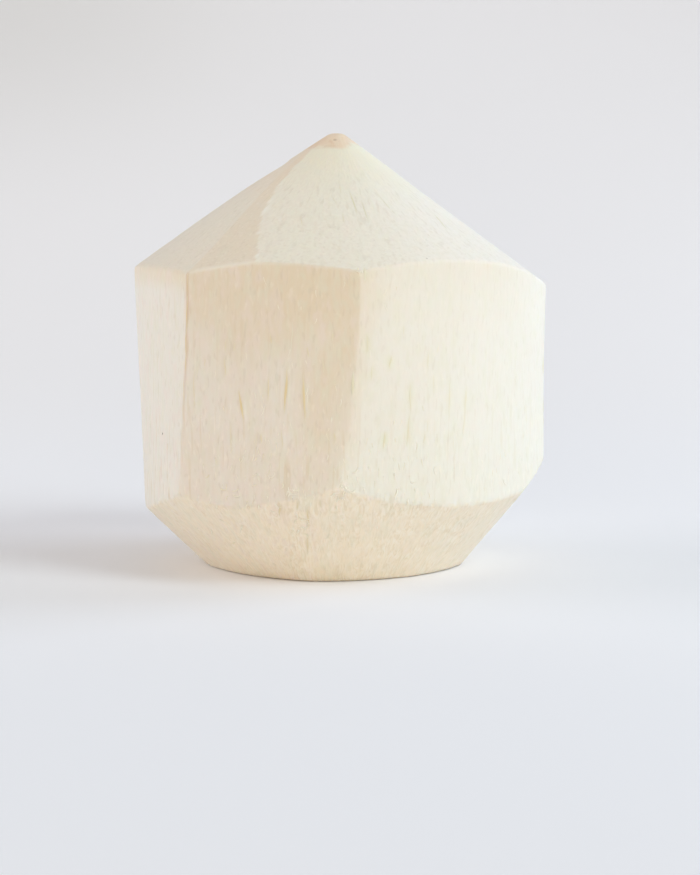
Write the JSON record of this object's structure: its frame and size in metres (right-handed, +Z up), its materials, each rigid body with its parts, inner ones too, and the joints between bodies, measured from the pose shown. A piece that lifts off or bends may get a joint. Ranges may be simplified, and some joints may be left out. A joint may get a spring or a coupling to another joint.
{
  "type": "trimmed young coconut",
  "caption": "Young coconut with its husk pared away to a pale faceted drum, a low conical top with a small brown tip, slanting cheeks and a flat foot to stand on.",
  "frame": {"origin": "middle of the flat foot that the nut stands on", "axes": "+Z up along the nut's own axis, through its tip; the front, where the edge between two side cuts runs down the middle, faces -Y; +X to the right"},
  "size_m": [0.1273, 0.1207, 0.1329],
  "materials": {
    "husk": "dry cut fibre, matt"
  },
  "bodies": {
    "root": {"coconut": "husk"}
  },
  "joints": []
}
